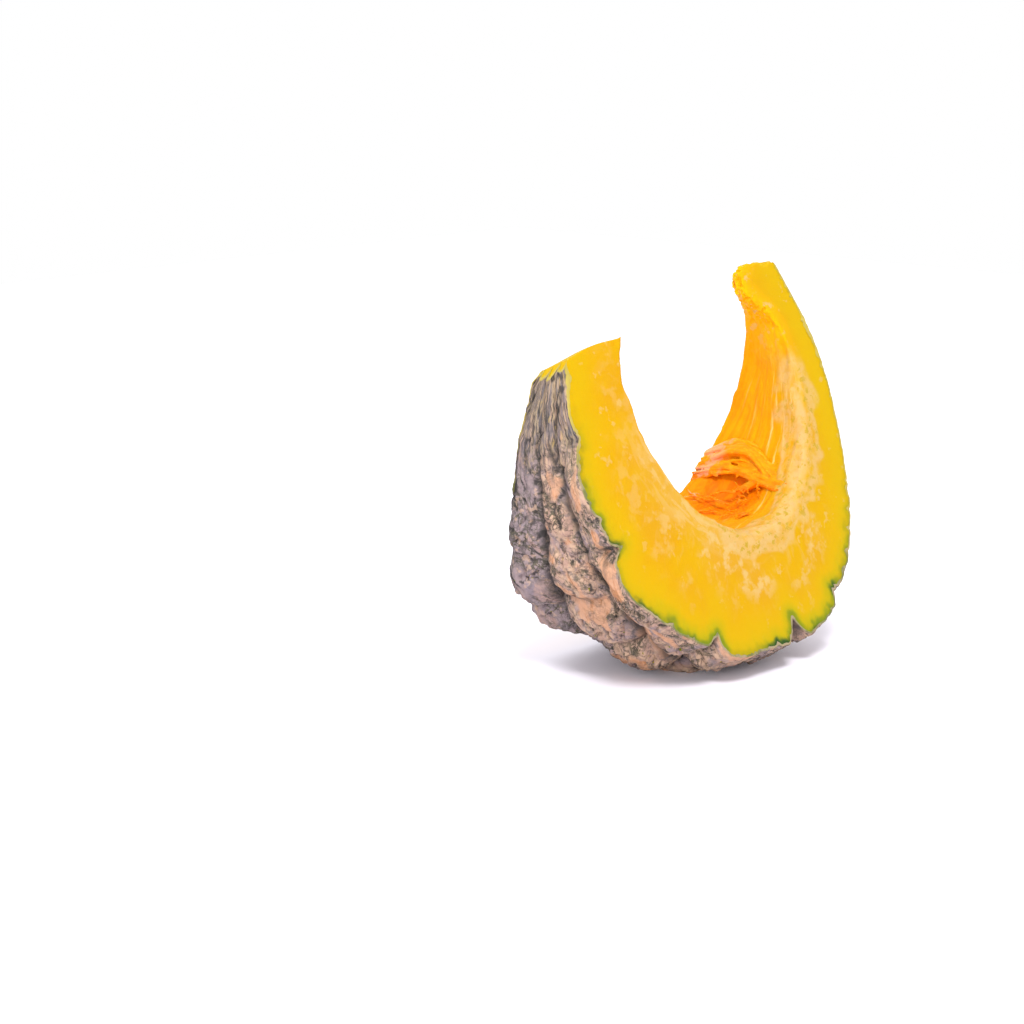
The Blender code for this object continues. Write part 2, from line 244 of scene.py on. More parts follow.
def pressedToScar(point, below):
    # the corky scar of the stem is flat
    cork = stemScar["corkDepth"] * abs(noise.noise(Vector((point.x, point.y, 0.0)) / stemScar["corkSize"]))
    limit = stemScar["height"] + stemScar["slope"] * point.x - below - cork
    if point.z > limit:
        return Vector((point.x, point.y, limit))
    return point


def latheMesh(name, outline, angles, relief):
    # a closed mesh turned about local Z, each of its points placed by the relief
    arcs = arcLengths(outline)
    normals = outlineNormals(outline)
    count = len(angles)
    points = [Vector((0.0, 0.0, outline[0][1]))]
    for row in range(1, len(outline) - 1):
        radius, height = outline[row]
        out, up = normals[row]
        for angle in angles:
            across = Vector((math.cos(angle), math.sin(angle), 0.0))
            base = across * float(radius)
            base.z = float(height)
            along = across * float(out)
            along.z = float(up)
            points.append(relief(angle, float(arcs[row]), base, along))
    points.append(Vector((0.0, 0.0, outline[-1][1])))
    points[0].z = points[1].z
    faces = []
    for j in range(count):
        k = (j + 1) % count
        faces.append((0, 1 + j, 1 + k))
    rows = len(outline) - 2
    for row in range(rows - 1):
        first = 1 + row * count
        for j in range(count):
            k = (j + 1) % count
            faces.append((first + j, first + count + j, first + count + k, first + k))
    last = 1 + (rows - 1) * count
    for j in range(count):
        k = (j + 1) % count
        faces.append((last + j, len(points) - 1, last + k))
    mesh = bpy.data.meshes.new(name)
    mesh.from_pydata(points, [], faces)
    body = bpy.data.objects.new(name, mesh)
    bpy.context.scene.collection.objects.link(body)
    turnedOutward(body)
    return body


def turnedOutward(body):
    # turns a closed mesh right side out
    mesh = bmesh.new()
    mesh.from_mesh(body.data)
    if mesh.calc_volume(signed=True) < 0:
        bmesh.ops.reverse_faces(mesh, faces=mesh.faces)
    mesh.to_mesh(body.data)
    mesh.free()


def sliceAngles(low, high, step, coarse):
    # close together over the slice, far apart round the rest of the squash
    fine = np.linspace(math.radians(low), math.radians(high), round((high - low) / step) + 1)
    rest = np.linspace(math.radians(high), math.radians(low + 360.0), round((360.0 - high + low) / coarse) + 1)
    return [float(a) for a in fine] + [float(a) for a in rest[1:-1]]


# Knives: blocks whose cutting side is a fine grid, so that a cut face has true fine relief
sliceCuts = {
    "frontAngle": math.radians(-19.5), "frontOffset": 0.0010, "frontSkew": 0.0,
    "backAngle": math.radians(12.6), "backOffset": 0.0040, "backSkew": 0.0312,
    "reach": 0.085, "middle": 0.065, "grid": 0.00070, "size": 0.6, "rindProud": 0.00015,
}
endCuts = {
    "blossomPoint": Vector((0.0158, -0.0053, -0.066)), "blossomFacing": Vector((-1.0, 0.394, -0.159)),
    "cornerPoint": Vector((0.0155, -0.004, -0.0652)), "cornerFacing": Vector((-0.72, 0.30, -0.70)),
    "stemPoint": Vector((-0.0056, 0.0, 0.050)), "stemFacing": Vector((-1.0, 0.0, 0.10)),
    "reach": 0.03, "grid": 0.0007, "size": 0.12,
    "bulge": 0.0019, "bulgeSize": 0.014, "bulgeMiddle": Vector((0.0138, -0.0049, -0.052)),
}


def fleshGrain(point):
    # slight waves and grain that a knife leaves in squash flesh
    wave = 0.00016 * noise.noise(point / 0.026)
    grain = 0.00006 * noise.noise(Vector((point.x / 0.0012, point.y / 0.0012, point.z / 0.0035)))
    return wave + grain


def blossomGrain(point):
    # the cut through the blossom end bulges a little at its middle
    offMiddle = (point - endCuts["bulgeMiddle"]).length / endCuts["bulgeSize"]
    return endCuts["bulge"] * math.exp(-offMiddle * offMiddle) + fleshGrain(point)


def tornGrain(point):
    # a broken end: lumps, chips and fibres
    lumps = 0.0017 * noise.noise(point / 0.0046)
    chips = 0.0017 * abs(noise.noise(point / 0.0018 + Vector((3.0, 1.0, 4.0))))
    return lumps - chips


def knife(name, point, facing, reach, step, grain, size):
    # its fine grid reaches that far each way from the point, and the block goes on to its size
    facing = facing.normalized()
    turn = facing.to_track_quat("Z", "Y").to_matrix().to_4x4()
    place = Matrix.Translation(point) @ turn
    steps = [-size / 2] + [float(v) for v in np.arange(-reach, reach, step)] + [size / 2]
    count = len(steps)
    points = []
    for i, x in enumerate(steps):
        for j, y in enumerate(steps):
            spot = place @ Vector((x, y, 0.0))
            inside = 0 < i < count - 1 and 0 < j < count - 1
            points.append(spot + facing * (grain(spot) if inside else 0.0))
    faces = []
    for i in range(count - 1):
        for j in range(count - 1):
            a = i * count + j
            faces.append((a, a + 1, a + count + 1, a + count))
    rim = [j for j in range(count)]
    rim += [i * count + count - 1 for i in range(1, count)]
    rim += [(count - 1) * count + j for j in range(count - 2, -1, -1)]
    rim += [i * count for i in range(count - 2, 0, -1)]
    base = len(points)
    for index in rim:
        points.append(points[index] + facing * size)
    for k in range(len(rim)):
        n = (k + 1) % len(rim)
        faces.append((rim[k], rim[n], base + n, base + k))
    faces.append(tuple(base + k for k in range(len(rim) - 1, -1, -1)))
    mesh = bpy.data.meshes.new(name)
    mesh.from_pydata(points, [], faces)
    body = bpy.data.objects.new(name, mesh)
    bpy.context.scene.collection.objects.link(body)
    fixed = bmesh.new()
    fixed.from_mesh(mesh)
    bmesh.ops.recalc_face_normals(fixed, faces=fixed.faces)
    fixed.to_mesh(mesh)
    fixed.free()
    turnedOutward(body)
    return body


def cut(body, other, operation="DIFFERENCE"):
    # one Boolean, made at once
    step = body.modifiers.new("cut", "BOOLEAN")
    step.operation = operation
    step.solver = "MANIFOLD"
    step.object = other
    graph = bpy.context.evaluated_depsgraph_get()
    finished = bpy.data.meshes.new_from_object(body.evaluated_get(graph))
    body.modifiers.clear()
    old = body.data
    body.data = finished
    bpy.data.meshes.remove(old)
    print("  ", body.name, operation.lower(), other.name, "->", len(finished.polygons), "faces")


def cutFacing(side):
    # the way that a cut face of the slice looks, its offset, and its direction out from the axis
    cuts = sliceCuts
    angle, sign = cuts[side + "Angle"], (-1.0 if side == "front" else 1.0)
    flat = Vector((-sign * math.sin(angle), sign * math.cos(angle), 0.0))
    outward = Vector((math.cos(angle), math.sin(angle), 0.0))
    return flat, Vector((flat.x, flat.y, -cuts[side + "Skew"])), cuts[side + "Offset"], outward


def sideKnives(setBack):
    made = []
    for side in ("front", "back"):
        flat, facing, offset, outward = cutFacing(side)
        point = flat * (offset + setBack) + outward * sliceCuts["middle"]
        made.append(knife(
            side + "Knife", point, facing, sliceCuts["reach"], sliceCuts["grid"], fleshGrain, sliceCuts["size"]))
    return made


def endKnives(setBack):
    cuts = endCuts
    made = []
    for end, grain in (("blossom", blossomGrain), ("corner", fleshGrain), ("stem", tornGrain)):
        facing = cuts[end + "Facing"]
        place = cuts[end + "Point"] + facing.normalized() * setBack
        made.append(knife(end + "Knife", place, facing, cuts["reach"], cuts["grid"], grain, cuts["size"]))
    return made


def discard(*things):
    for thing in things:
        bpy.data.objects.remove(thing)


# The solids: the rind as a thin shell, and the flesh with the seed hollow scooped out of it
buildSteps = {"rind": 0.00072, "rindInner": 0.0011, "wall": 0.0008, "low": -26.0, "high": 20.0, "coarse": 6.0}
wallLook = {
    "grain": 0.012, "roughness": 0.0012, "fibreWidth": 0.0024, "fibreLength": 0.013, "fibreHeight": 0.00045,
    "pitSize": 0.0019, "pitHeight": 0.00030, "tornTo": 0.030, "tornHeight": 0.0024, "tornSize": 0.0024,
}
wallDips = (  # angle, spread, place along the wall, spread, depth
    (3.0, 9.0, 0.091, 0.011, 0.0045),
    (13.0, 10.0, 0.052, 0.022, 0.0032),
)


def outerRind(angle, arc, base, along):
    point = base + along * rindRelief(angle, arc, base)[0]
    height, _, _ = rindPattern(angle, arc, point)
    return pressedToScar(pressedToFloor(point + along * height, 0.0), 0.0)


def innerRind(lift):
    # the rind is thicker under grooves
    def relief(angle, arc, base, along):
        height, _, thicker = rindRelief(angle, arc, base)
        point = base + along * height
        height, fold, _ = rindPattern(angle, arc, point)
        thick = squashShape["rindThickness"] + thicker + squashShape["foldThickness"] * fold - lift
        return pressedToScar(pressedToFloor(point + along * (height - thick), thick), thick)
    return relief


def wallRelief(angle, arc, base, along):
    look = wallLook
    height = look["roughness"] * noise.noise(base / look["grain"])
    height += sum(patchHeight(angle, arc, *facts) for facts in wallDips)
    across = angle * math.hypot(base.x, base.y)
    height += look["fibreHeight"] * noise.noise(Vector((across / look["fibreWidth"], arc / look["fibreLength"], 0.0)))
    height += look["pitHeight"] * noise.noise(base / look["pitSize"])
    torn = 1.0 - smoothStep(arc, look["tornTo"] * 0.5, look["tornTo"])
    height += look["tornHeight"] * torn * abs(noise.noise(base / look["tornSize"]))
    return base + along * height


print("making the whole squash")
steps = buildSteps


def anglesAt(step, radius):
    return sliceAngles(steps["low"], steps["high"], math.degrees(step / radius), steps["coarse"])


rindAngles = anglesAt(steps["rind"], squashShape["equatorRadius"])
innerAngles = anglesAt(steps["rindInner"], squashShape["equatorRadius"])
wallAngles = anglesAt(steps["wall"], hollowShape["radius"])
rind = latheMesh("rind", rindOutline(steps["rind"]), rindAngles, outerRind)
rindInside = latheMesh("rindInside", rindOutline(steps["rindInner"]), innerAngles, innerRind(0.0))
flesh = latheMesh("flesh", rindOutline(steps["rindInner"]), innerAngles, innerRind(0.0002))
hollow = latheMesh("hollow", hollowOutline(steps["wall"]), wallAngles, wallRelief)
print("cutting the slice")
knives = sideKnives(0.0)
ends = endKnives(0.0)
for tool in knives + [hollow] + ends:
    cut(flesh, tool)
discard(*knives, *ends)
knives = sideKnives(sliceCuts["rindProud"])
ends = endKnives(sliceCuts["rindProud"])
for tool in knives + ends + [rindInside]:
    cut(rind, tool)
discard(*knives, *ends)
print("rind", len(rind.data.vertices), "flesh", len(flesh.data.vertices))


def treeOf(body):
    mesh = body.data
    return BVHTree.FromPolygons([v.co for v in mesh.vertices], [tuple(p.vertices) for p in mesh.polygons])


def setAttribute(body, name, values):
    layer = body.data.attributes.new(name, "FLOAT", "POINT")
    layer.data.foreach_set("value", values)


# The edge between cut face and hollow is worn round, most beside and below the pocket
lipLook = {
    "radius": 0.0013, "softRadius": 0.0046, "backRadius": 0.0022, "unevenness": 0.5, "unevenSize": 0.006,
    "starts": (0.026, 0.060), "ends": (0.118, 0.155), "band": 0.0120,
}


def lipSoftness(place):
    return smoothStep(place, *lipLook["starts"]) * (1.0 - smoothStep(place, *lipLook["ends"]))


def roundedBy(radius, toCut, toHollow):
    # how far a point near a square edge moves in from the cut face and out from the hollow to make it round
    nearer, farther = sorted((toCut, toHollow))
    if farther >= radius:
        return 0.0, 0.0
    turn = 1.0 - farther / radius
    weight = radius * (1.0 - nearer / radius)
    depth = weight * (1.0 - math.cos(turn * math.pi / 4))
    slide = weight * (turn - math.sin(turn * math.pi / 4))
    return (depth, slide) if toCut < toHollow else (slide, depth)


def dressFlesh(body, rindTree, hollowTree):
    # gives each point its distances and places, then rounds the edges of the hollow
    names = ("depth", "toHollow", "place", "rindPlace", "inside", "pocket", "lip", "behind")
    values = {name: [] for name in names}
    cuts = [(facing.normalized(), flat * offset) for flat, facing, offset, _ in map(cutFacing, ("front", "back"))]
    for vertex in body.data.vertices:
        point = vertex.co.copy()
        _, outward, _, toHollow = hollowTree.find_nearest(point)
        place = readWall(point)
        angle = math.atan2(point.y, point.x)
        softness = lipSoftness(place)
        uneven = 1.0 + lipLook["unevenness"] * noise.noise(point / lipLook["unevenSize"])
        radii = (lipLook["radius"] + (lipLook["softRadius"] - lipLook["radius"]) * softness, lipLook["backRadius"])
        inside = [max(0.0, (start - point).dot(facing)) for facing, start in cuts]
        for (facing, _), toCut, radius in zip(cuts, inside, radii):
            inward, outwards = roundedBy(radius * uneven, toCut, toHollow)
            vertex.co += outward * outwards - facing * inward
        values["depth"].append(rindTree.find_nearest(point)[3])
        values["toHollow"].append(toHollow)
        values["place"].append(place)
        values["rindPlace"].append(readRind(point))
        values["inside"].append(inside[0])
        values["pocket"].append(patchHeight(angle, place, *wallDips[0][:2], wallDips[0][2] + 0.002, 0.013, 1.0))
        values["lip"].append(max(0.0, 1.0 - max(inside[0], toHollow) / (lipLook["band"] * uneven)) * softness)
        values["behind"].append(math.degrees(angle))
    for name in names:
        setAttribute(body, name, values[name])


def toNearestCut(point):
    # how deep inside the cut faces of the rind the point is
    proud = sliceCuts["rindProud"]
    depths = []
    for flat, facing, offset, _ in map(cutFacing, ("front", "back")):
        depths.append((flat * (offset + proud) - point).dot(facing.normalized()))
    for end in ("blossom", "corner", "stem"):
        depths.append((endCuts[end + "Point"] - point).dot(endCuts[end + "Facing"].normalized()) + proud)
    return min(depths)


def dressRind(body, rindTree):
    names = ("fold", "patch", "groove", "depth", "toCut", "behind", "along")
    values = {name: [] for name in names}
    for vertex in body.data.vertices:
        point = vertex.co
        angle = math.atan2(point.y, point.x)
        along = readRind(point)
        _, groove, _ = rindRelief(angle, along, point)
        _, fold, patch = rindPattern(angle, along, point)
        depth = rindTree.find_nearest(point)[3]
        facts = (fold, patch, groove, depth, toNearestCut(point), math.degrees(angle), along)
        for name, value in zip(names, facts):
            values[name].append(value)
    for name in names:
        setAttribute(body, name, values[name])


print("measuring depths and rounding the lip")
rindTree = treeOf(rindInside)
dressFlesh(flesh, rindTree, treeOf(hollow))
dressRind(rind, rindTree)
discard(rindInside, hollow)


def toRest(body):
    body.data.transform(toWorld)
    body.data.shade_smooth()
    body.data.set_sharp_from_angle(angle=math.radians(38))
    body.data.update()


# Pulp that the scoop has left: bundles of fibres over the pocket, with loose ones round them
pulpLook = {
    "fibresInBundle": 18, "pointsInFibre": 34, "thick": (0.20, 0.34), "core": 0.75, "spread": 0.95, "voxel": 0.00036,
    "wave": 0.0006, "sink": 0.7, "looseFibres": 44, "loosePoints": 12, "looseRadius": (0.00016, 0.00034),
    "looseAngles": (-14.0, 9.0), "loosePlaces": (0.076, 0.104), "seed": 11, "setBack": -0.0004,
}
pulpBundles = (  # first and last angle, place along the wall, bow, lift, radius
    (-12.0, 18.0, 0.0850, -0.0100, 0.0027, 0.0022),
    (-14.0, 18.0, 0.0890, -0.0080, 0.0014, 0.0017),
    (-10.0, 18.0, 0.0815, -0.0100, 0.0010, 0.0016),
    (-16.0, -1.0, 0.0885, -0.0040, 0.0004, 0.0013),
)
wallLine = hollowOutline(0.001)
wallArcs = arcLengths(wallLine)
wallNormals = outlineNormals(wallLine)


def wallPlace(angle, place, lift):
    radius, height = (float(np.interp(place, wallArcs, wallLine[:, k])) for k in (0, 1))
    out, up = (float(np.interp(place, wallArcs, wallNormals[:, k])) for k in (0, 1))
    radius -= lift * out
    height -= lift * up
    return Vector((radius * math.cos(angle), radius * math.sin(angle), height))


def fibre(mesh, points, radii):
    # one round thread through the points, added to a bmesh
    curve = bpy.data.curves.new("fibre", "CURVE")
    curve.dimensions = "3D"
    curve.bevel_depth = 1.0
    curve.bevel_resolution = 2
    curve.use_fill_caps = True
    spline = curve.splines.new("POLY")
    spline.points.add(len(points) - 1)
    for spot, point, radius in zip(spline.points, points, radii):
        spot.co = (*point, 1.0)
        spot.radius = radius
    thread = bpy.data.objects.new("fibre", curve)
    bpy.context.scene.collection.objects.link(thread)
    graph = bpy.context.evaluated_depsgraph_get()
    tube = bpy.data.meshes.new_from_object(thread.evaluated_get(graph))
    mesh.from_mesh(tube)
    bpy.data.objects.remove(thread)
    bpy.data.meshes.remove(tube)


def addBundle(mesh, chance, first, last, place, bow, lift, radius):
    # the first fibre is a thick one in the middle
    look = pulpLook
    for number in range(look["fibresInBundle"]):
        spread = look["spread"] * radius if number else 0.0
        around = math.tau * number / look["fibresInBundle"] + chance.uniform(0, 1)
        twist = chance.uniform(-3.0, 3.0)
        shift = chance.uniform(-1.5, 1.5)
        thick = radius * (chance.uniform(*look["thick"]) if number else look["core"])
        points, radii = [], []
        for k in range(look["pointsInFibre"]):
            share = k / (look["pointsInFibre"] - 1)
            arch = math.sin(math.pi * share)
            angle = math.radians(first + shift + (last - first) * share)
            wave = look["wave"] * math.sin(9.0 * share + 900.0 * place)
            side = 1.5 * spread * math.cos(around + twist * share)
            over = spread * math.sin(around + twist * share) - look["sink"] * radius
            points.append(wallPlace(angle, place + bow * arch + wave + side, lift * arch + over))
            radii.append(thick * (0.7 + 0.45 * arch) * (1.0 + 0.25 * math.sin(17.0 * share + number)))
        fibre(mesh, points, radii)


def addLooseFibre(mesh, chance, number):
    look = pulpLook
    count = look["loosePoints"]
    angle = chance.uniform(*look["looseAngles"])
    place = chance.uniform(*look["loosePlaces"])
    length = chance.uniform(2.0, 9.0)
    lean = chance.uniform(-0.006, 0.006)
    lift = chance.uniform(0.0002, 0.0010)
    thick = chance.uniform(*look["looseRadius"])
    points, radii = [], []
    for k in range(count):
        share = k / (count - 1)
        arch = math.sin(math.pi * share)
        wave = 0.0005 * math.sin(7.0 * share + number)
        points.append(wallPlace(
            math.radians(angle + length * share), place + lean * share + wave, lift * arch - 0.0001))
        radii.append(thick * (0.5 + arch))
    fibre(mesh, points, radii)


def makePulp():
    look = pulpLook
    chance = np.random.default_rng(look["seed"])
    mesh = bmesh.new()
    for facts in pulpBundles:
        addBundle(mesh, chance, *facts)
    for number in range(look["looseFibres"]):
        addLooseFibre(mesh, chance, number)
    data = bpy.data.meshes.new("pulp")
    mesh.to_mesh(data)
    mesh.free()
    made = bpy.data.objects.new("pulp", data)
    bpy.context.scene.collection.objects.link(made)
    shell = made.modifiers.new("web", "REMESH")
    shell.mode = "VOXEL"
    shell.voxel_size = look["voxel"]
    soften = made.modifiers.new("soften", "SMOOTH")
    soften.factor = 0.5
    soften.iterations = 2
    trim = sideKnives(look["setBack"])
    for tool in trim:
        cut(made, tool)
    discard(*trim)
    setAttribute(made, "behind", [math.degrees(math.atan2(v.co.y, v.co.x)) for v in made.data.vertices])
    setAttribute(made, "place", [readWall(v.co) for v in made.data.vertices])
    return made


pulp = makePulp()
print("pulp", len(pulp.data.vertices))
for body in (rind, flesh, pulp):
    toRest(body)


# Materials: all markings are made by noise in the squash's own directions
def newMaterial(name, roughness, shine=0.5):
    made = bpy.data.materials.new(name)
    made.use_nodes = True
    shader = made.node_tree.nodes["Principled BSDF"]
    shader.inputs["Roughness"].default_value = roughness
    shader.inputs["Specular IOR Level"].default_value = shine
    return made, Nodes(made.node_tree), shader


def srgb(r, g, b, lightness=1.0):
    def linear(v):
        v /= 255.0
        return lightness * (v / 12.92 if v <= 0.04045 else ((v + 0.055) / 1.055) ** 2.4)
    return (linear(r), linear(g), linear(b), 1.0)


class Nodes:
    # short ways to add and join shader nodes
    def __init__(self, tree):
        self.tree = tree

    def add(self, kind, **values):
        node = self.tree.nodes.new(kind)
        for key, value in values.items():
            setattr(node, key, value)
        return node

    def link(self, source, target):
        if isinstance(source, bpy.types.NodeSocket):
            self.tree.links.new(source, target)
        else:
            target.default_value = source

    def attribute(self, name):
        return self.add("ShaderNodeAttribute", attribute_name=name).outputs["Fac"]

    def place(self):
        return self.add("ShaderNodeTexCoord").outputs["Object"]

    def math(self, operation, a, b=0.0, clamp=False):
        node = self.add("ShaderNodeMath", operation=operation, use_clamp=clamp)
        self.link(a, node.inputs[0])
        self.link(b, node.inputs[1])
        return node.outputs[0]

    def times(self, *shares):
        product = shares[0]
        for share in shares[1:]:
            product = self.math("MULTIPLY", product, share)
        return product

    def ramp(self, value, low, high, toLow=0.0, toHigh=1.0):
        node = self.add("ShaderNodeMapRange", interpolation_type="SMOOTHSTEP")
        self.link(value, node.inputs["Value"])
        node.inputs["From Min"].default_value = low
        node.inputs["From Max"].default_value = high
        node.inputs["To Min"].default_value = toLow
        node.inputs["To Max"].default_value = toHigh
        return node.outputs["Result"]

    def noise(self, where, scale, detail=3.0, roughness=0.55, distortion=0.0):
        node = self.add("ShaderNodeTexNoise")
        self.link(where, node.inputs["Vector"])
        node.inputs["Scale"].default_value = scale
        node.inputs["Detail"].default_value = detail
        node.inputs["Roughness"].default_value = roughness
        node.inputs["Distortion"].default_value = distortion
        return node.outputs["Fac"]

    def veins(self, where, scale, width, detail=5.0, distortion=1.2):
        # thin lines where the noise passes its middle value
        off = self.math("ABSOLUTE", self.math("SUBTRACT", self.noise(where, scale, detail, 0.6, distortion), 0.5))
        return self.ramp(off, width, width * 0.25)

    def mix(self, share, first, second, blend="MIX"):
        node = self.add("ShaderNodeMix", data_type="RGBA", blend_type=blend)
        self.link(share, node.inputs[0])
        self.link(first, node.inputs[6])
        self.link(second, node.inputs[7])
        return node.outputs[2]

    def grid(self, x, xScale, y, yScale):
        # a point made of two values, for streaks along one of them
        node = self.add("ShaderNodeCombineXYZ")
        self.link(self.math("MULTIPLY", x, xScale), node.inputs[0])
        self.link(self.math("MULTIPLY", y, yScale), node.inputs[1])
        return node.outputs[0]

    def bump(self, height, distance, strength=1.0):
        node = self.add("ShaderNodeBump")
        self.link(height, node.inputs["Height"])
        node.inputs["Distance"].default_value = distance
        node.inputs["Strength"].default_value = strength
        return node.outputs[0]


fleshLight = 0.485
# Wall, pocket and pulp colours carry a higher lightness than the flesh: painted light that fills the shade inside the
# hollow
paintedLightInShade = 0.70
fleshColours = {
    "yellow": srgb(252, 194, 4, fleshLight), "deepYellow": srgb(250, 184, 3, fleshLight),
    "lemon": srgb(249, 201, 6, fleshLight), "pale": srgb(255, 212, 128, fleshLight),
    "cream": srgb(255, 212, 140, fleshLight), "straw": srgb(222, 184, 44, fleshLight),
    "orange": srgb(255, 164, 4, paintedLightInShade), "deepOrange": srgb(255, 147, 3, paintedLightInShade),
    "redPulp": srgb(255, 128, 2, paintedLightInShade), "pink": srgb(255, 172, 120, paintedLightInShade),
    "shadedPale": srgb(255, 206, 122, paintedLightInShade), "ochre": srgb(252, 182, 40, paintedLightInShade),
    "paintedLightYellow": srgb(255, 182, 5, 0.68),
    "lime": srgb(206, 196, 20, fleshLight), "green": srgb(132, 156, 34, fleshLight),
    "darkGreen": srgb(66, 100, 44, fleshLight),
}


def paleMarkings(n, colour, place, depth, toHollow, wallPlaceAt):
    # cream blotches and streaks in the flesh between hollow and rind
    c = fleshColours
    zone = n.times(n.ramp(depth, 0.006, 0.016), n.ramp(toHollow, 0.042, 0.018), n.ramp(wallPlaceAt, 0.030, 0.060),
                   n.ramp(wallPlaceAt, 0.190, 0.140, 0.35, 1.0))
    cluster = n.ramp(n.noise(place, 42.0, 2.0), 0.43, 0.60)
    blobs = n.ramp(n.noise(place, 200.0, 3.0, 0.55), 0.44, 0.66)
    colour = n.mix(n.times(zone, cluster, n.ramp(blobs, 0.0, 1.0, 0.08, 1.0), 0.95), colour, c["pale"])
    strokes = n.ramp(n.noise(n.grid(toHollow, 110.0, wallPlaceAt, 260.0), 1.0, 5.0, 0.6, 0.5), 0.50, 0.66)
    colour = n.mix(n.times(zone, strokes, 0.22), colour, c["pale"])
    wisps = n.ramp(n.noise(n.grid(toHollow, 330.0, wallPlaceAt, 75.0), 1.0, 5.0, 0.62, 0.6), 0.44, 0.62)
    blossomSide = n.times(n.ramp(wallPlaceAt, 0.100, 0.125), n.ramp(wallPlaceAt, 0.205, 0.175),
                          n.ramp(toHollow, 0.017, 0.002))
    colour = n.mix(n.times(blossomSide, n.ramp(wisps, 0.0, 1.0, 0.15, 0.80)), colour, c["pale"])
    fleck = n.times(n.ramp(n.noise(place, 210.0, 3.0), 0.62, 0.70), n.ramp(toHollow, 0.045, 0.020))
    return n.mix(n.math("MULTIPLY", fleck, 0.5), colour, c["pale"])


def wallColouring(n, place, inside, pocket, wallPlaceAt, behind):
    # the hollow's wall: yellow at the front, orange deeper in, pale streaks, red in the pocket, and painted light in
    # the neck at the stem end
    c = fleshColours
    streak = n.grid(behind, 0.62, wallPlaceAt, 46.0)
    wall = n.mix(n.ramp(n.noise(streak, 1.0, 4.0, 0.6, 0.3), 0.35, 0.62), c["deepOrange"], c["orange"])
    front = n.math("ADD", inside, n.math("MULTIPLY", n.math("SUBTRACT", n.noise(place, 70.0), 0.5), 0.016))
    wall = n.mix(n.ramp(front, 0.022, 0.004), wall, c["deepYellow"])
    lines = n.times(n.ramp(n.noise(n.grid(behind, 0.42, wallPlaceAt, 26.0), 1.0, 4.0, 0.6, 0.5), 0.55, 0.66),
                    n.ramp(wallPlaceAt, 0.025, 0.055), n.ramp(front, 0.034, 0.012))
    wall = n.mix(n.math("MULTIPLY", lines, 0.8), wall, c["shadedPale"])
    # painted light: the wall's neck at the stem end is made a brighter yellow to take out the shade of that narrow
    # place
    wall = n.mix(n.ramp(wallPlaceAt, 0.044, 0.020), wall, c["paintedLightYellow"])
    red = n.mix(n.ramp(n.noise(n.grid(behind, 0.5, wallPlaceAt, 150.0), 1.0, 4.0, 0.6, 0.5), 0.42, 0.60),
                c["redPulp"], c["deepOrange"])
    return n.mix(n.ramp(pocket, 0.12, 0.55), wall, red)


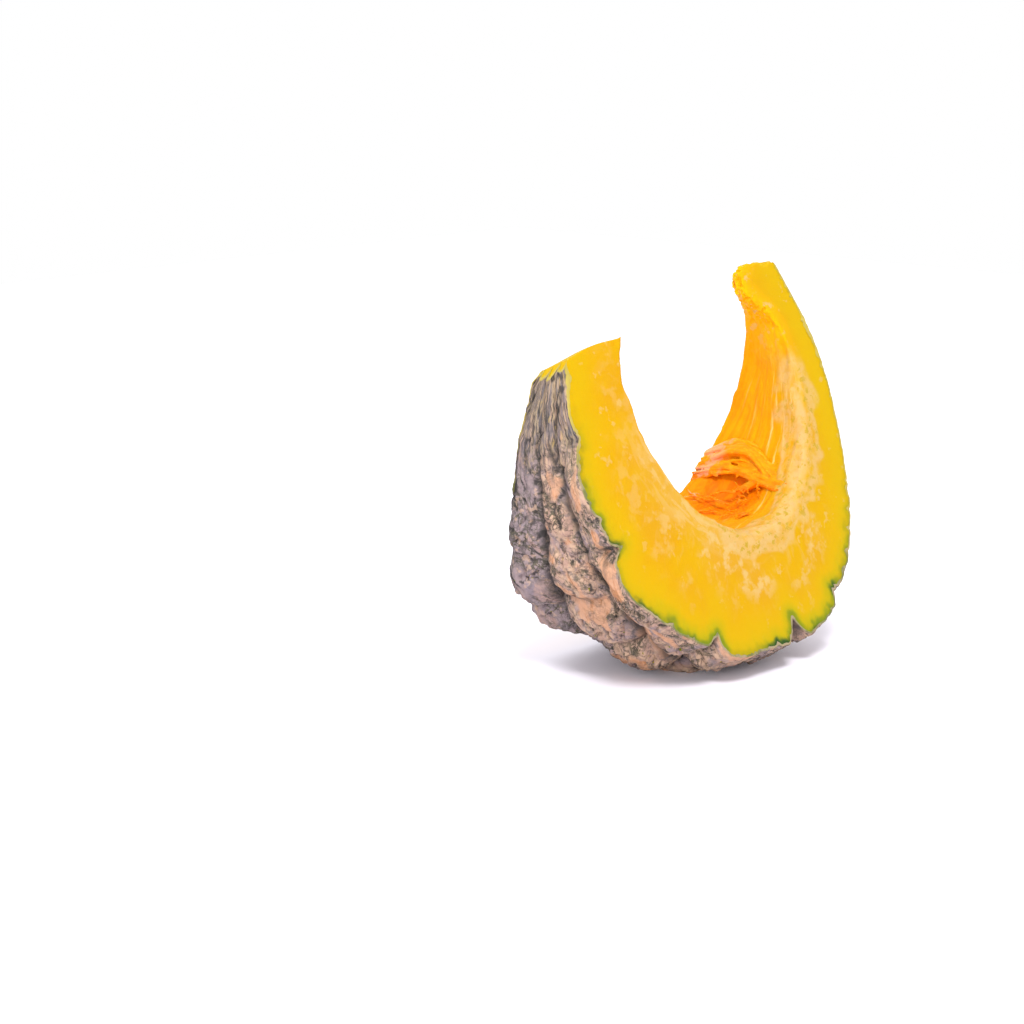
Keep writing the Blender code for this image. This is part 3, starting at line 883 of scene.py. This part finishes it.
def fleshMaterial():
    made, n, shader = newMaterial("squashFlesh", 0.5, 0.05)
    place = n.place()
    names = ("depth", "toHollow", "place", "rindPlace", "inside", "pocket", "lip", "behind")
    depth, toHollow, wallPlaceAt, rindPlace, inside, pocket, lip, behind = map(n.attribute, names)
    c = fleshColours
    colour = n.mix(n.ramp(n.noise(place, 45.0, 4.0), 0.38, 0.66), c["yellow"], c["deepYellow"])
    colour = n.mix(n.ramp(depth, 0.015, 0.003), colour, c["lemon"])
    colour = paleMarkings(n, colour, place, depth, toHollow, wallPlaceAt)
    onWall = n.ramp(toHollow, 0.0012, 0.0002)
    colour = n.mix(onWall, colour, wallColouring(n, place, inside, pocket, wallPlaceAt, behind))
    # Cream bands along the rounded lip are partly pale scoop marks and partly a painted highlight on the lip's curve
    wavyLip = n.math("ADD", lip, n.math("MULTIPLY", n.math("SUBTRACT", n.noise(place, 110.0, 4.0, 0.55), 0.5), 0.7))
    outer = n.times(n.ramp(wavyLip, 0.02, 0.30), n.ramp(wavyLip, 0.60, 0.32))
    inner = n.ramp(wavyLip, 0.50, 0.95)
    between = n.times(n.ramp(wavyLip, 0.20, 0.55), n.ramp(n.noise(place, 240.0, 4.0, 0.6), 0.38, 0.64))
    soft = n.math("MAXIMUM", n.math("MAXIMUM", n.times(outer, 0.8), inner), n.times(between, 0.8))
    soft = n.times(soft, n.ramp(lip, 0.0, 0.22), n.ramp(n.noise(place, 420.0, 3.0), 0.30, 0.55, 0.55, 1.0))
    colour = n.mix(n.times(soft, 0.85), colour, c["cream"])
    speckle = n.times(n.ramp(n.noise(place, 400.0, 3.0, 0.6), 0.55, 0.64), n.ramp(lip, 0.10, 0.40))
    colour = n.mix(n.times(speckle, 0.8), colour, c["straw"])
    # painted light: the flesh at the stem tip beside the hollow is lightened to take out the shade there; the cream
    # flecks on it are chips
    atTip = n.times(n.ramp(wallPlaceAt, 0.040, 0.014), n.ramp(toHollow, 0.006, 0.001))
    colour = n.mix(n.times(atTip, 0.8), colour, c["paintedLightYellow"])
    colour = n.mix(n.times(atTip, n.ramp(n.noise(place, 330.0, 3.0), 0.55, 0.63), 0.8), colour, c["cream"])
    wobble = n.math("MULTIPLY", n.math("SUBTRACT", n.noise(place, 120.0, 4.0, 0.6), 0.5), 0.0044)
    edge = n.math("ADD", depth, wobble)
    ripe = n.times(n.ramp(rindPlace, 0.066, 0.120), n.ramp(rindPlace, 0.330, 0.296))
    uneven = n.ramp(n.noise(place, 42.0, 3.0), 0.38, 0.60, 0.35, 1.0)
    colour = n.mix(n.times(n.ramp(edge, 0.0062, 0.0010), ripe, uneven, 0.85), colour, c["lime"])
    colour = n.mix(n.times(n.ramp(edge, 0.0027, 0.0004), ripe, uneven, 0.85), colour, c["green"])
    dark = n.times(n.ramp(edge, 0.0019, 0.0), n.ramp(n.noise(place, 75.0, 3.0), 0.50, 0.64), ripe)
    colour = n.mix(dark, colour, c["darkGreen"])
    n.link(colour, shader.inputs["Base Color"])
    height = n.math("ADD", n.noise(place, 900.0, 4.0, 0.6), n.times(n.noise(place, 420.0, 3.0), lip, 2.0))
    n.link(n.bump(height, 0.00022, 0.55), shader.inputs["Normal"])
    shader.inputs["Subsurface Weight"].default_value = 0.30
    shader.inputs["Subsurface Radius"].default_value = (1.0, 0.45, 0.10)
    shader.inputs["Subsurface Scale"].default_value = 0.004
    return made


def pulpMaterial():
    made, n, shader = newMaterial("squashPulp", 0.45, 0.10)
    place = n.place()
    behind, wallPlaceAt = n.attribute("behind"), n.attribute("place")
    c = fleshColours
    colour = n.mix(n.ramp(n.noise(n.grid(behind, 0.35, wallPlaceAt, 520.0), 1.0, 4.0, 0.6, 0.4), 0.38, 0.62),
                   c["orange"], c["deepOrange"])
    colour = n.mix(n.ramp(wallPlaceAt, 0.0840, 0.0900), colour, c["redPulp"])
    colour = n.mix(n.times(n.ramp(n.noise(n.grid(behind, 0.3, wallPlaceAt, 700.0), 1.0, 2.0), 0.58, 0.68), 0.6),
                   colour, c["ochre"])
    rough = n.times(n.ramp(behind, 7.0, 11.0), n.ramp(n.noise(place, 260.0, 4.0), 0.44, 0.58))
    colour = n.mix(rough, colour, c["pink"])
    n.link(colour, shader.inputs["Base Color"])
    n.link(n.bump(n.noise(place, 1500.0, 3.0), 0.0002, 0.5), shader.inputs["Normal"])
    shader.inputs["Subsurface Weight"].default_value = 0.60
    shader.inputs["Subsurface Radius"].default_value = (1.0, 0.45, 0.10)
    shader.inputs["Subsurface Scale"].default_value = 0.005
    return made


rindLight = 0.61
rindColours = {
    "beige": srgb(216, 180, 152, rindLight), "pinkish": srgb(202, 164, 144, rindLight),
    "mauve": srgb(162, 144, 150, rindLight), "slate": srgb(118, 110, 112, rindLight),
    "paintedShadeMauve": srgb(150, 136, 144, rindLight),
    "peach": srgb(232, 174, 134, rindLight), "tan": srgb(196, 132, 84, rindLight),
    "olive": srgb(88, 84, 62, rindLight), "dark": srgb(52, 50, 48, rindLight),
    "khaki": srgb(176, 154, 124, rindLight), "gold": srgb(204, 172, 100, rindLight),
    "rim": srgb(178, 160, 124, rindLight), "rimGreen": srgb(128, 130, 74, rindLight),
    "rimGold": srgb(206, 184, 84, rindLight),
    "cork": srgb(176, 150, 108, rindLight),
}


def hornBark(n, behind, along, fold):
    # long streaks on the ribs near the blossom end
    c = rindColours
    wide = n.noise(n.grid(behind, 0.42, along, 70.0), 1.0, 6.0, 0.66, 0.9)
    bark = n.mix(n.ramp(wide, 0.44, 0.56), c["khaki"], c["slate"])
    marks = n.ramp(n.noise(n.grid(behind, 0.75, along, 130.0), 1.0, 5.0, 0.66, 0.9), 0.48, 0.57)
    bark = n.mix(n.times(marks, 0.9), bark, c["dark"])
    fine = n.noise(n.grid(behind, 1.6, along, 60.0), 1.0, 3.0, 0.6, 0.8)
    bark = n.mix(n.times(n.ramp(fine, 0.55, 0.63), 0.8), bark, c["beige"])
    # darker in the folds: partly the bark's own dark marks there, partly painted shade in the folds
    bark = n.mix(n.times(n.ramp(fold, 0.25, 0.75), 0.8), bark, c["dark"])
    spots = n.noise(n.grid(behind, 0.45, along, 110.0), 1.3, 3.0)
    return n.mix(n.times(n.ramp(spots, 0.62, 0.68), 0.6), bark, c["gold"])


def rindMaterial():
    made, n, shader = newMaterial("squashRind", 0.65, 0.22)
    place = n.place()
    names = ("fold", "patch", "groove", "depth", "toCut", "behind", "along")
    fold, patch, groove, depth, toCut, behind, along = map(n.attribute, names)
    c = rindColours
    ribWise = n.grid(behind, 0.42, along, 100.0)
    colour = n.mix(n.ramp(n.noise(ribWise, 1.2, 5.0, 0.60, 0.9), 0.44, 0.56), c["beige"], c["pinkish"])
    colour = n.mix(n.times(n.ramp(n.noise(place, 95.0, 5.0, 0.62, 0.6), 0.50, 0.62), 0.75), colour, c["mauve"])
    # painted shade: the back rib, turned away from the light, is mixed towards a dark mauve-grey, and its peach
    # patches are faded
    far = n.times(n.ramp(behind, 0.5, 3.5), n.ramp(along, 0.340, 0.320))
    colour = n.mix(n.math("MULTIPLY", far, 0.80), colour, c["paintedShadeMauve"])
    ragged = n.math("ADD", patch, n.math("MULTIPLY", n.math("SUBTRACT", n.noise(place, 110.0, 6.0, 0.66), 0.5), 2.2))
    peach = n.times(n.ramp(ragged, 0.40, 0.95), n.math("SUBTRACT", 1.0, n.math("MULTIPLY", far, 0.8)))
    colour = n.mix(n.math("MULTIPLY", peach, 0.85), colour, c["peach"])
    tan = n.ramp(n.noise(n.grid(behind, 0.6, along, 110.0), 1.0, 5.0, 0.6, 0.6), 0.52, 0.62)
    colour = n.mix(n.times(peach, tan, 0.8), colour, c["tan"])
    plain = n.math("SUBTRACT", 1.0, n.math("MULTIPLY", peach, 0.7))
    mask = n.ramp(n.noise(place, 75.0, 4.0, 0.6), 0.38, 0.56)
    colour = n.mix(n.times(n.ramp(n.noise(place, 240.0, 4.0, 0.6, 0.8), 0.50, 0.62), plain, 0.55), colour, c["slate"])
    colour = n.mix(n.times(n.veins(place, 105.0, 0.050, 4.0, 1.6), mask, plain, 0.85), colour, c["olive"])
    colour = n.mix(n.times(n.veins(place, 200.0, 0.060, 4.0), mask, plain, 0.6), colour, c["dark"])
    # darker in the folds: partly the skin's own dark marks there, partly painted shade in the folds
    valley = n.math("ADD", fold, n.math("MULTIPLY", n.math("SUBTRACT", n.noise(place, 200.0, 4.0), 0.5), 0.7))
    colour = n.mix(n.times(n.ramp(valley, 0.25, 0.85), 0.85), colour, c["dark"])
    colour = n.mix(n.times(n.ramp(n.noise(place, 330.0, 3.0), 0.56, 0.66), plain, 0.55), colour, c["beige"])
    # painted shade: the rib and lump grooves are darkened to deepen their shading
    paintedGrooveShade = n.math("ADD", groove, n.math("MULTIPLY", n.math("SUBTRACT", n.noise(place, 120.0, 5.0), 0.5), 0.5))
    colour = n.mix(n.times(n.ramp(paintedGrooveShade, 0.35, 0.85), 0.75), colour, c["dark"])
    horn = n.ramp(n.math("ADD", along, n.math("MULTIPLY", n.math("SUBTRACT", n.noise(ribWise, 1.0), 0.5), 0.04)),
                  0.298, 0.322)
    colour = n.mix(n.math("MULTIPLY", horn, 0.90), colour, hornBark(n, behind, along, fold))
    cork = n.mix(n.ramp(n.noise(place, 260.0, 5.0, 0.65, 0.6), 0.42, 0.60), c["cork"], c["khaki"])
    cork = n.mix(n.times(n.veins(n.grid(behind, 0.5, along, 90.0), 2.0, 0.06, 4.0), 0.7), cork, c["olive"])
    cork = n.mix(n.times(n.ramp(n.noise(place, 420.0, 3.0), 0.58, 0.66), 0.7), cork, c["gold"])
    ringed = n.math("ADD", along, n.math("MULTIPLY", n.math("SUBTRACT", n.noise(place, 110.0, 4.0), 0.5), 0.016))
    colour = n.mix(n.ramp(ringed, 0.021, 0.014), colour, cork)
    rim = n.mix(n.ramp(n.noise(place, 150.0, 4.0), 0.40, 0.58), c["rimGreen"], c["rim"])
    rim = n.mix(n.math("MAXIMUM", n.ramp(along, 0.300, 0.325), n.ramp(along, 0.125, 0.085)), rim, c["rimGold"])
    section = n.times(n.ramp(toCut, 0.00035, 0.00015), n.ramp(depth, 0.00090, 0.00055))
    colour = n.mix(section, colour, rim)
    n.link(colour, shader.inputs["Base Color"])
    height = n.math("ADD", n.noise(place, 560.0, 4.0, 0.6), n.math("MULTIPLY", n.noise(place, 240.0, 3.0), 1.0))
    n.link(n.bump(height, 0.0007, 0.8), shader.inputs["Normal"])
    return made


dressed = ((flesh, fleshMaterial(), "flesh"), (pulp, pulpMaterial(), "flesh"), (rind, rindMaterial(), "rind"))
for piece, made, slot in dressed:
    piece.data.materials.clear()
    piece.data.materials.append(made)
    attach(piece, "root")
    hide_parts("squash_slice")
print("materials done")

# Stage, light and camera
stageLook = {
    "floorColour": srgb(244, 240, 250), "floorSize": 1.1, "worldStrength": 1.0,
    "keyPlace": (-0.95, -0.95, 1.65), "keySize": (0.5, 0.5), "keyPower": 38.0,
    "topPlace": (0.6, 0.6, 2.2), "topSize": (2.0, 2.0), "topPower": 14.0, "aim": (0.0, 0.0, 0.07),
    "fillPlace": (-1.3, -0.5, 0.35), "fillSize": (0.8, 0.5), "fillPower": 9.0,
}
cameraLook = {
    "lens": 95.424, "sensor": 36.0, "fromAxis": Vector((-0.7539, -0.61786, 0.12327)),
    "looks": Vector((0.71842, 0.66484, -0.20458)),
}


def makeStage():
    mesh = bmesh.new()
    bmesh.ops.create_grid(mesh, x_segments=1, y_segments=1, size=stageLook["floorSize"])
    data = bpy.data.meshes.new("floor")
    mesh.to_mesh(data)
    mesh.free()
    floor = bpy.data.objects.new("floor", data)
    bpy.context.scene.collection.objects.link(floor)
    made, _, shader = newMaterial("floorPaper", 0.7, 0.2)
    shader.inputs["Base Color"].default_value = stageLook["floorColour"]
    data.materials.append(made)
    world = bpy.data.worlds.new("studio")
    bpy.context.scene.world = world
    world.use_nodes = True
    world.node_tree.nodes["Background"].inputs[0].default_value = (1.0, 1.0, 1.0, 1.0)
    world.node_tree.nodes["Background"].inputs[1].default_value = stageLook["worldStrength"]


def softLight(name):
    data = bpy.data.lights.new(name, "AREA")
    data.shape = "RECTANGLE"
    data.size, data.size_y = stageLook[name + "Size"]
    data.energy = stageLook[name + "Power"]
    light = bpy.data.objects.new(name, data)
    light.location = stageLook[name + "Place"]
    aim = Vector(stageLook["aim"]) - light.location
    light.rotation_euler = aim.to_track_quat("-Z", "Y").to_euler()
    bpy.context.scene.collection.objects.link(light)


def makeCamera():
    data = bpy.data.cameras.new("photoView")
    data.lens = cameraLook["lens"]
    data.sensor_width = cameraLook["sensor"]
    data.clip_end = 50.0
    camera = bpy.data.objects.new("photoView", data)
    camera.location = restPose["axisPlace"] + cameraLook["fromAxis"]
    camera.rotation_euler = cameraLook["looks"].to_track_quat("-Z", "Y").to_euler()
    bpy.context.scene.collection.objects.link(camera)
    bpy.context.scene.camera = camera


makeStage()
softLight("key")
softLight("top")
softLight("fill")
makeCamera()
bpy.context.scene.view_settings.view_transform = "Standard"
